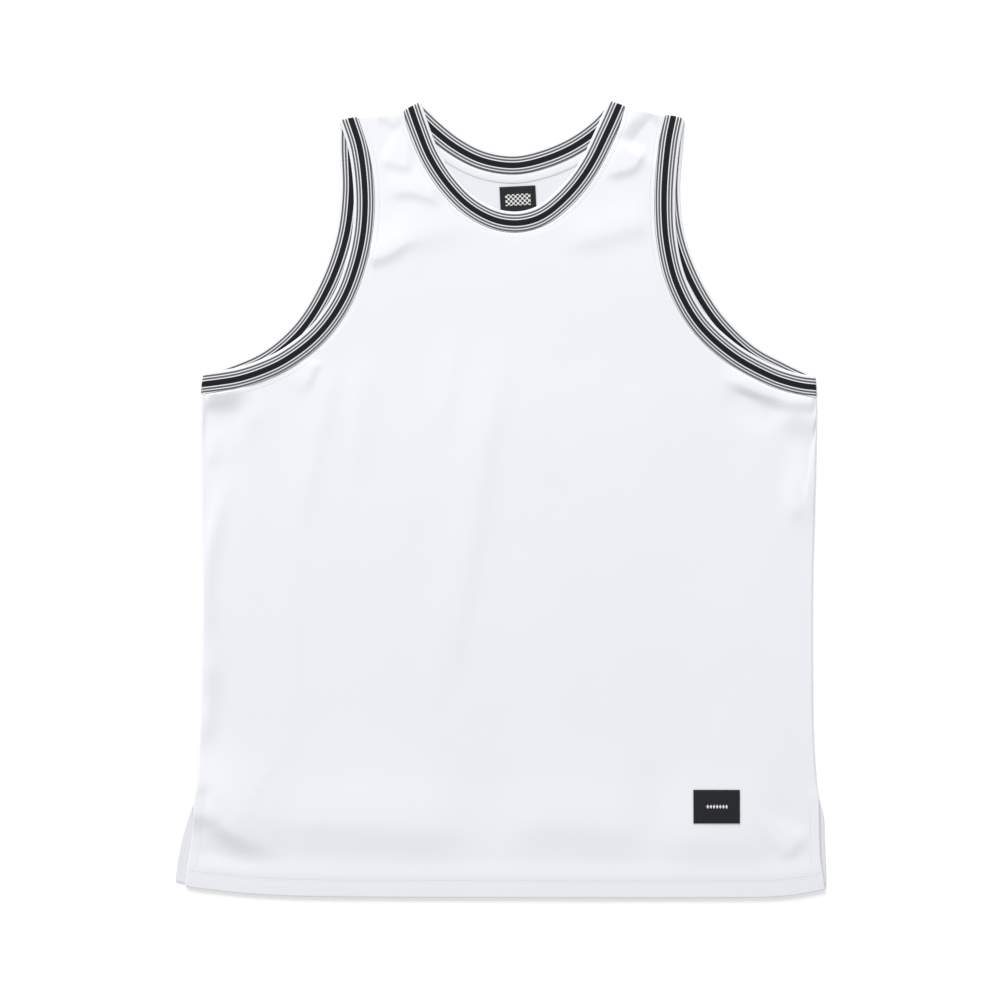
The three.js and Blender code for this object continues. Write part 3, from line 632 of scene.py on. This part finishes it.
def band_half(layer, band, count):
    """Sections across half a rib ring, from one fold to the other: the places on the seam and on the free
    edge, the ways out of the nearer fold there, how far the ring has turned, and the distance along."""
    seam, free = seam_of(band), free_of(band)
    reach = BAND_TOP / 2
    sections = []
    for distance in seam_steps(seam.length, True, count):
        first = distance < seam.length / 2
        from_end = distance if first else seam.length - distance
        free_from_end = from_end
        if from_end > reach:
            share = (from_end - reach) / (seam.length - 2 * reach)
            free_from_end = reach + share * (free.length - 2 * reach)
        out = -1 if first else 1
        section = {
            "seam": seam.at(distance),
            "free": free.at(free_from_end if first else free.length - free_from_end),
            "seam_out": out * seam.tangent(0 if first else seam.length),
            "free_out": out * free.tangent(0 if first else free.length),
            "angle": math.acos(1 - min(from_end / reach, 1)),
            "up": 1 if layer == "front" else -1,
            "along": distance,
        }
        sections.append(section)
    return sections


def band_places(width):
    """Places across a band from its seam to its free edge, close together where these are rounded."""
    turn = 1 - np.cos(np.linspace(0, math.pi / 2, 6))
    even = np.concatenate([[1.54], np.arange(2.8, 11.3, 1.4)])
    return np.concatenate([GAP + SEAM_ROUND * turn, GAP + even, width - FREE_ROUND * turn[::-1]])


def band_object(name, front_band, back_band, counts, flipped):
    """A rib ring: its front half over its back half, joined round both folds."""
    front_half = band_half("front", front_band, counts[0])
    back_half = band_half("back", back_band, counts[1])
    ring = front_half[1:-1] + back_half[::-1]
    whole_round = 2 * seam_of(front_band).length + 40
    outer, inner, uv = [], [], []
    for section in ring:
        up, angle = section["up"], section["angle"]
        width = float(np.linalg.norm(section["free"] - section["seam"]))
        height = BAND_TOP / 2 * (1 + up * math.sin(angle))
        along = section["along"] if up > 0 else whole_round - section["along"]
        for place in band_places(width):
            t = place / width
            way = section["seam_out"] * (1 - t) + section["free_out"] * t
            way = way / np.linalg.norm(way)
            normal = np.array([way[0] * math.cos(angle), way[1] * math.cos(angle), up * math.sin(angle)])
            draw = max(float(rounded(width - place, FREE_ROUND)), float(rounded(place - GAP, SEAM_ROUND)))
            puff = 0.25 * math.sin(math.pi * t) if up > 0 else 0
            xy = section["seam"] + (section["free"] - section["seam"]) * t
            point = np.array([xy[0], xy[1], height])
            outer.append(point + normal * (puff - draw))
            inner.append(point - normal * (RIB - draw))
            uv.append((along * MM, (width - place) / BAND_WIDTH))
    cols = len(outer) // len(ring)
    faces = with_rims(grid_faces(len(ring), cols, flipped, closed=True), len(outer))
    return new_object(
        name + "_knit",
        np.array(outer + inner),
        faces,
        RIB_KNIT,
        uv=np.array(uv + uv),
        replaces=(name,),
    )


# Materials


class Nodes:
    """A small helper that adds nodes to a material and joins them."""

    def __init__(self, name):
        self.material = bpy.data.materials.new(name)
        self.material.use_nodes = True
        self.tree = self.material.node_tree
        self.shader = self.tree.nodes["Principled BSDF"]

    def add(self, kind, **settings):
        node = self.tree.nodes.new(kind)
        for key, value in settings.items():
            setattr(node, key, value)
        return node

    def put(self, socket, value):
        if isinstance(value, bpy.types.NodeSocket):
            self.tree.links.new(value, socket)
        else:
            socket.default_value = value

    def math(self, operation, a, b=0.0, c=0.0):
        node = self.add("ShaderNodeMath", operation=operation)
        for socket, value in zip(node.inputs, (a, b, c)):
            self.put(socket, value)
        return node.outputs[0]

    def mix(self, share, a, b):
        node = self.add("ShaderNodeMix", data_type="RGBA")
        self.put(node.inputs[0], share)
        self.put(node.inputs[6], a)
        self.put(node.inputs[7], b)
        return node.outputs[2]

    def uv(self):
        node = self.add("ShaderNodeUVMap", uv_map="cloth")
        split = self.add("ShaderNodeSeparateXYZ")
        self.put(split.inputs[0], node.outputs[0])
        return split.outputs[0], split.outputs[1]

    def wave(self, value, pitch):
        """From 0 to 1 and back once in each pitch."""
        turned = self.math("MULTIPLY", value, 2 * math.pi / pitch)
        return self.math("MULTIPLY_ADD", self.math("COSINE", turned), 0.5, 0.5)

    def bump(self, height, distance, strength):
        node = self.add("ShaderNodeBump")
        self.put(node.inputs["Height"], height)
        node.inputs["Distance"].default_value = distance
        node.inputs["Strength"].default_value = strength
        self.put(self.shader.inputs["Normal"], node.outputs[0])

    def finish(self, roughness, sheen, specular):
        self.shader.inputs["Roughness"].default_value = roughness
        self.shader.inputs["Sheen Weight"].default_value = sheen
        self.shader.inputs["Sheen Roughness"].default_value = 0.5
        self.shader.inputs["Specular IOR Level"].default_value = specular
        return self.material


def mesh_knit(name, shade):
    """White polyester knit: fine wales with small eyelets set in a staggered net."""
    n = Nodes(name)
    x, y = n.uv()
    pitch = 0.0024
    row_pitch = pitch * 0.8
    row = n.math("DIVIDE", y, row_pitch)
    shift = n.math("MULTIPLY", n.math("MODULO", n.math("FLOOR", row), 2.0), pitch / 2)
    across = n.wave(n.math("ADD", x, shift), pitch)
    down = n.wave(y, row_pitch)
    eyelet = n.math("POWER", n.math("MULTIPLY", across, n.math("SUBTRACT", 1.0, down)), 2.0)
    wale = n.wave(x, 0.0006)
    broad = n.add("ShaderNodeTexNoise")
    broad.inputs["Scale"].default_value = 9.0
    broad.inputs["Detail"].default_value = 3.0
    coord = n.add("ShaderNodeTexCoord")
    n.put(broad.inputs["Vector"], coord.outputs["Object"])
    # shade scales the knit's colour; the copy with shade below 1 is painted shade
    low = [shade * c for c in (0.790, 0.803, 0.842)] + [1]
    high = [shade * c for c in (0.806, 0.819, 0.858)] + [1]
    tone = n.mix(broad.outputs[0], low, high)
    # The eyelets are a little darker in colour: painted shade in the holes.
    colour = n.mix(n.math("MULTIPLY", eyelet, 0.05), tone, (0.55, 0.56, 0.60, 1))
    n.put(n.shader.inputs["Base Color"], colour)
    height = n.math("SUBTRACT", n.math("MULTIPLY", wale, 0.3), eyelet)
    n.bump(height, 0.00010, 0.22)
    return n.finish(roughness=0.72, sheen=0.12, specular=0.25)


# Stripes of the rib, in millimetres from its free edge: the middle of each and half its width
THIN_STRIPES = ((3.7, 0.92), (6.5, 0.92), (16.0, 0.92), (18.7, 0.92))
BROAD_STRIPES = ((11.25, 2.85),)


def striped_rib():
    """White rib with a broad black stripe between two pairs of thin grey ones."""
    n = Nodes("striped_rib")
    x, y = n.uv()
    wobble = n.add("ShaderNodeTexNoise")
    wobble.inputs["Scale"].default_value = 900.0
    node = n.add("ShaderNodeUVMap", uv_map="cloth")
    n.put(wobble.inputs["Vector"], node.outputs[0])
    uneven = n.math("MULTIPLY", n.math("SUBTRACT", wobble.outputs[0], 0.5), 0.22)
    place = n.math("ADD", n.math("MULTIPLY", y, BAND_WIDTH), uneven)
    wale = n.wave(x, 0.0014)
    course = n.wave(n.math("MULTIPLY", y, BAND_WIDTH * MM), 0.0009)
    ribbed = n.math("MULTIPLY", wale, n.math("MULTIPLY_ADD", course, 0.3, 0.7))
    # Darker in the furrows between wales and courses, for the white, grey and black yarns alike: painted
    # shade on top of the real stripes.
    colour = n.mix(ribbed, (0.74, 0.75, 0.77, 1), (0.85, 0.86, 0.875, 1))
    grey = n.mix(ribbed, (0.085, 0.09, 0.10, 1), (0.135, 0.14, 0.15, 1))
    black = n.mix(ribbed, (0.006, 0.007, 0.009, 1), (0.017, 0.018, 0.021, 1))
    for stripes, yarn in ((THIN_STRIPES, grey), (BROAD_STRIPES, black)):
        for middle, half in stripes:
            off = n.math("ABSOLUTE", n.math("SUBTRACT", place, middle))
            edge = n.add("ShaderNodeMapRange", interpolation_type="SMOOTHSTEP")
            n.put(edge.inputs["Value"], off)
            edge.inputs["From Min"].default_value = half - 0.15
            edge.inputs["From Max"].default_value = half + 0.15
            edge.inputs["To Min"].default_value = 1.0
            edge.inputs["To Max"].default_value = 0.0
            colour = n.mix(edge.outputs[0], colour, yarn)
    n.put(n.shader.inputs["Base Color"], colour)
    n.bump(ribbed, 0.0003, 0.4)
    return n.finish(roughness=0.85, sheen=0.03, specular=0.15)


def white_twill():
    """White tape woven on the slant."""
    n = Nodes("white_twill_tape")
    x, y = n.uv()
    slant = n.wave(n.math("ADD", x, y), 0.0011)
    # The tape's colour is set a little darker than the knit's white, as painted shade for where it lies
    # inside the back neck; it is also darker in the furrows of the slant, painted shade there too.
    n.put(n.shader.inputs["Base Color"], n.mix(slant, (0.74, 0.75, 0.775, 1), (0.80, 0.81, 0.835, 1)))
    n.bump(slant, 0.0001, 0.3)
    return n.finish(roughness=0.7, sheen=0.08, specular=0.3)


def thread(name, colour):
    """Twisted sewing thread."""
    n = Nodes(name)
    coord = n.add("ShaderNodeTexCoord")
    twist = n.add("ShaderNodeTexWave")
    twist.inputs["Scale"].default_value = 700.0
    n.put(twist.inputs["Vector"], coord.outputs["Object"])
    # Darker along the grooves of the twist: painted shade.
    darker = tuple(0.8 * c for c in colour[:3]) + (1,)
    n.put(n.shader.inputs["Base Color"], n.mix(twist.outputs[0], darker, colour))
    return n.finish(roughness=0.55, sheen=0.1, specular=0.35)


def woven_label(name, motif):
    """Black woven satin with a plain motif in white thread."""
    n = Nodes(name)
    x, y = n.uv()
    weft = n.wave(y, 0.00045)
    warp = n.wave(x, 0.0009)
    # The black and the white thread are each darker along the weave's furrows: painted shade; the white
    # motif itself is woven.
    black = n.mix(warp, (0.008, 0.009, 0.011, 1), (0.015, 0.017, 0.020, 1))
    white = n.mix(weft, (0.62, 0.62, 0.62, 1), (0.78, 0.78, 0.78, 1))
    n.put(n.shader.inputs["Base Color"], n.mix(motif(n, x, y), black, white))
    n.bump(n.math("ADD", weft, n.math("MULTIPLY", warp, 0.5)), 0.0001, 0.4)
    return n.finish(roughness=0.6, sheen=0.02, specular=0.2)


def box_mask(n, x, y, half_w, half_h):
    """1 inside a rectangle in the middle of the label, whose sizes are in metres."""
    in_x = n.math("LESS_THAN", n.math("ABSOLUTE", x), half_w)
    in_y = n.math("LESS_THAN", n.math("ABSOLUTE", y), half_h)
    return n.math("MULTIPLY", in_x, in_y)


def hem_motif(n, x, y):
    """A short row of small diamonds."""
    cell = n.math("SUBTRACT", n.math("MODULO", n.math("ADD", x, 1.0), 0.003), 0.0015)
    diamond = n.math("ADD", n.math("ABSOLUTE", cell), n.math("MULTIPLY", n.math("ABSOLUTE", y), 0.6))
    inside = n.math("LESS_THAN", diamond, 0.00125)
    return n.math("MULTIPLY", inside, box_mask(n, x, y, 0.0105, 0.004))


def neck_motif(n, x, y):
    """A block of fine checks."""
    cell_x = n.math("FLOOR", n.math("DIVIDE", n.math("ADD", x, 1.0), 0.0022))
    cell_y = n.math("FLOOR", n.math("DIVIDE", n.math("ADD", y, 1.0011), 0.0022))
    check = n.math("MODULO", n.math("ADD", cell_x, cell_y), 2.0)
    return n.math("MULTIPLY", check, box_mask(n, x, y, 0.0121, 0.0055))


KNIT = mesh_knit("white_mesh_knit", 1.0)
# A darker copy of the same knit for the back panel: painted shade where the back shows inside the neck
# opening and at the vents
KNIT_PAINTED_SHADE = mesh_knit("white_mesh_knit_painted_shade", 0.93)
RIB_KNIT = striped_rib()
TWILL = white_twill()
THREAD = thread("white_thread", (0.82, 0.82, 0.83, 1))
BLACK_THREAD = thread("black_thread", (0.012, 0.013, 0.016, 1))

FRONT_STEPS = {"vent": 22, "body": 92, "chest": 56, "strap": 60, "across": 74}
BACK_STEPS = {"vent": 14, "body": 50, "chest": 26, "strap": 26, "across": 34}
front = panel("front", FRONT_STEPS, KNIT)
back = panel("back", BACK_STEPS, KNIT_PAINTED_SHADE)

band_object("neck_band", "neck_front", "neck_back", (150, 110), True)
band_object("armhole_band_left", "left_front", "left_back", (150, 120), True)
band_object("armhole_band_right", "right_front", "right_back", (150, 120), False)

# Sewing


def stitches(name, path, height, material, pitch, length, radius, rows=(0.0,)):
    """A line of short stitches along a path of points, with its height given by a function."""
    path = np.asarray(path, float)
    along = np.concatenate([[0], np.cumsum(np.linalg.norm(np.diff(path, axis=0), axis=1))])
    sides, rings = 6, 5
    middles = (np.arange(int(along[-1] / pitch)) + 0.5) * pitch
    t = np.linspace(0, 1, rings)
    places = middles[:, None] + length * (t - 0.5)
    centres = np.stack([np.interp(places, along, path[:, k]) for k in (0, 1)], axis=-1)
    way = centres[:, -1] - centres[:, 0]
    way /= np.linalg.norm(way, axis=1, keepdims=True)
    aside = np.stack([-way[:, 1], way[:, 0]], axis=1)[:, None, :]
    arch = np.sin(math.pi * t)
    angles = 2 * math.pi * np.arange(sides) / sides
    points = []
    for row in rows:
        at = centres + aside * row
        z = height(at[..., 0], at[..., 1]) + arch * 0.16 - 0.12
        thick = (radius * (0.55 + 0.45 * arch))[None, :, None]
        around = np.broadcast_to(thick, (len(middles), rings, sides))
        xy = at[:, :, None, :] + aside[:, :, None, :] * (around * np.cos(angles))[..., None]
        up = z[:, :, None] + around * np.sin(angles)
        points.append(np.concatenate([xy, up[..., None]], axis=-1).reshape(-1, 3))
    points = np.concatenate(points)
    faces = []
    for start in range(0, len(points), sides * rings):
        for r in range(rings - 1):
            for q in range(sides):
                a = start + r * sides + q
                b = start + r * sides + (q + 1) % sides
                faces.append((a, b, b + sides, a + sides))
        faces.append(tuple(start + q for q in reversed(range(sides))))
        faces.append(tuple(start + (rings - 1) * sides + q for q in range(sides)))
    return new_object(name, points, faces, material, sharp=0)


def beside_seam(band, offset, ends=4.0, step=4.0):
    """A path that runs beside a band's seam, on the panel."""
    seam, free = seam_of(band), free_of(band)
    distances = np.arange(ends, seam.length - ends, step)
    path = []
    for d in distances:
        s = seam.at(d)
        f = free.at(d / seam.length * free.length)
        away = (s - f) / np.linalg.norm(s - f)
        path.append(s + away * offset)
    return np.array(path)


def on_front(x, y):
    """Height of the front where the topstitch runs."""
    return front_level(x, y, np.full_like(x, shown_beside(TOPSTITCH_IN)))


for name, band in (
    ("neck_topstitch", "neck_front"),
    ("armhole_topstitch_left", "left_front"),
    ("armhole_topstitch_right", "right_front"),
):
    path = beside_seam(band, TOPSTITCH_IN)
    stitches(name, path, on_front, THREAD, pitch=3.0, length=2.2, radius=0.15)

hem_x = np.linspace(-298.5, 306, 160)
hem_path = np.stack([hem_x, hem_y(hem_x) + HEM_DEPTH - 1.2], axis=1)


def on_hem(x, y):
    """Height of the front on the hem and the vent edges, where the thread sinks in."""
    return front_level(x, y, np.ones_like(x)) - 0.12


stitches("hem_stitches", hem_path, on_hem, THREAD, pitch=3.2, length=2.5, radius=0.22, rows=(-1.1, 1.1))
for side, sign in (("left", 1), ("right", -1)):
    ys = np.linspace(HEM_END, VENT_TOP_Y - 4, 20)
    xs = side_x("front", np.full_like(ys, -sign * 1.0), ys) + sign * VENT_HEM_WIDTH
    vent_path = np.stack([xs, ys], axis=1)
    stitches(f"vent_stitches_{side}", vent_path, on_hem, THREAD, pitch=3.2, length=2.5, radius=0.22)

# Tape and labels


def tape_object():
    """The tape below the back neck band, with a row of stitches sunk along each edge."""
    seam = seam_of("neck_back")
    count, cols = 90, 9
    margin = 14
    points, uv = [], []
    for i in range(count + 1):
        d = margin + (seam.length - 2 * margin) * i / count
        s, way = seam.at(d), seam.tangent(d)
        into = np.array([way[1], -way[0]])
        for c in range(cols):
            t = c / (cols - 1)
            place = GAP + TAPE_WIDTH * t
            xy = s + into * place
            draw = float(rounded(min(place - GAP, GAP + TAPE_WIDTH - place), 0.3))
            sewn = sum(0.1 * math.exp(-(((t - row) / 0.09) ** 2)) for row in (0.14, 0.86))
            points.append((xy[0], xy[1], TAPE_TOP - 0.55 - draw - sewn))
            uv.append((d * MM, place * MM))
    inner = [(x, y, CLOTH + 0.05) for x, y, _ in points]
    faces = with_rims(grid_faces(count + 1, cols), len(points))
    return new_object(
        "neck_tape_twill",
        np.array(points + inner),
        faces,
        TWILL,
        uv=np.array(uv + uv),
        replaces=("back_neck_tape",),
    )


def label_object(name, label, height, material, node):
    """A woven label: a thin plate with soft edges and corners that follows what it lies on."""
    across, down = 30, 22
    turn = label["turn"]
    v, u = np.meshgrid(np.linspace(-0.5, 0.5, down + 1), np.linspace(-0.5, 0.5, across + 1), indexing="ij")
    u, v = u.ravel() * label["width"], v.ravel() * label["height"]
    edge = np.minimum(label["width"] / 2 - np.abs(u), label["height"] / 2 - np.abs(v))
    x = label["x"] + u * math.cos(turn) - v * math.sin(turn)
    y = label["y"] + u * math.sin(turn) + v * math.cos(turn)
    base = height(x, y) + GAP
    top = np.stack([x, y, base + LABEL - rounded(edge, 0.35)], axis=1)
    under = np.stack([x, y, base], axis=1)
    faces = with_rims(grid_faces(down + 1, across + 1), len(top))
    uv = np.stack([u, v], axis=1) * MM
    return new_object(
        name,
        np.concatenate([top, under]),
        faces,
        material,
        uv=np.concatenate([uv, uv]),
        replaces=(node,),
    )


def under_hem_label(x, y):
    return front_level(x, y, np.ones_like(x)) + 0.25


def under_neck_label(x, y):
    return np.full_like(x, CLOTH)


HEM_SATIN = woven_label("hem_label_satin", hem_motif)
NECK_SATIN = woven_label("neck_label_satin", neck_motif)
tape_object()
label_object("hem_label_weave", HEM_LABEL, under_hem_label, HEM_SATIN, "hem_label")
label_object("neck_label_weave", NECK_LABEL, under_neck_label, NECK_SATIN, "neck_label")


def label_stitches(name, label, height, inset=1.3):
    """Stitches round a label, just inside its edge."""
    w, h = label["width"] / 2 - inset, label["height"] / 2 - inset
    turn = label["turn"]
    corners = [(-w, -h), (w, -h), (w, h), (-w, h), (-w, -h)]
    path = [
        (
            label["x"] + u * math.cos(turn) - v * math.sin(turn),
            label["y"] + u * math.sin(turn) + v * math.cos(turn),
        )
        for u, v in corners
    ]
    stitches(name, path, height, BLACK_THREAD, pitch=2.0, length=1.6, radius=0.16)


def on_hem_label(x, y):
    return under_hem_label(x, y) + GAP + LABEL


def on_neck_label(x, y):
    return under_neck_label(x, y) + GAP + LABEL


label_stitches("hem_label_stitches", HEM_LABEL, on_hem_label)
label_stitches("neck_label_stitches", NECK_LABEL, on_neck_label)

# Floor, light and camera

FLOOR_HALF = 4.0
FLOOR_GLOW = 0.19
KEY_PLACE = (-1.55, 5.0, 3.15)
KEY_SIZE = (2.0, 5.2)
KEY_POWER = 400
SKY = 0.59


def floor_object():
    """A white surface, bright enough to be pure white in the picture but for the shadow on it."""
    mesh = bpy.data.meshes.new("floor")
    corners = [(x * FLOOR_HALF, y * FLOOR_HALF, 0) for x, y in ((-1, -1), (1, -1), (1, 1), (-1, 1))]
    mesh.from_pydata(corners, [], [(0, 1, 2, 3)])
    n = Nodes("floor_white")
    n.shader.inputs["Base Color"].default_value = (0.97, 0.97, 0.97, 1)
    n.shader.inputs["Emission Color"].default_value = (1, 1, 1, 1)
    n.shader.inputs["Emission Strength"].default_value = FLOOR_GLOW
    mesh.materials.append(n.finish(roughness=1.0, sheen=0.0, specular=0.0))
    obj = bpy.data.objects.new("floor", mesh)
    obj.location.z = -0.0002
    bpy.context.scene.collection.objects.link(obj)
    return obj


floor_object()


def area_light(name, place, size, power):
    """A rectangular light that faces the jersey."""
    data = bpy.data.lights.new(name, "AREA")
    data.shape = "RECTANGLE"
    data.size, data.size_y = size
    data.energy = power
    obj = bpy.data.objects.new(name, data)
    obj.location = place
    obj.rotation_euler = (-Vector(place)).to_track_quat("-Z", "Y").to_euler()
    bpy.context.scene.collection.objects.link(obj)


area_light("key", KEY_PLACE, KEY_SIZE, KEY_POWER)
world = bpy.data.worlds.new("studio")
world.use_nodes = True
background = world.node_tree.nodes["Background"]
background.inputs[0].default_value = (1, 1, 1, 1)
background.inputs[1].default_value = SKY
bpy.context.scene.world = world
bpy.context.scene.view_settings.view_transform = "Standard"
bpy.context.scene.view_settings.look = "None"

# The photograph is 1000 pixels wide and high at 0.96 mm for each pixel, seen from straight above. Its width
# is in metres, its middle is a place in the layout, and it is in scale at FOCUS_Z, about the cloth's middle.
PICTURE_WIDTH = 0.96
PICTURE_MIDDLE = (-0.48, -1.2)
FOCUS_Z = 0.003
LENS = 85
SENSOR = 36
camera_data = bpy.data.cameras.new("camera")
camera_data.lens = LENS
camera_data.sensor_width = SENSOR
camera = bpy.data.objects.new("camera", camera_data)
camera_x, camera_y = [(SHIFT[k] + PICTURE_MIDDLE[k]) * MM for k in (0, 1)]
camera.location = (camera_x, camera_y, FOCUS_Z + PICTURE_WIDTH * LENS / SENSOR)
bpy.context.scene.collection.objects.link(camera)
bpy.context.scene.camera = camera
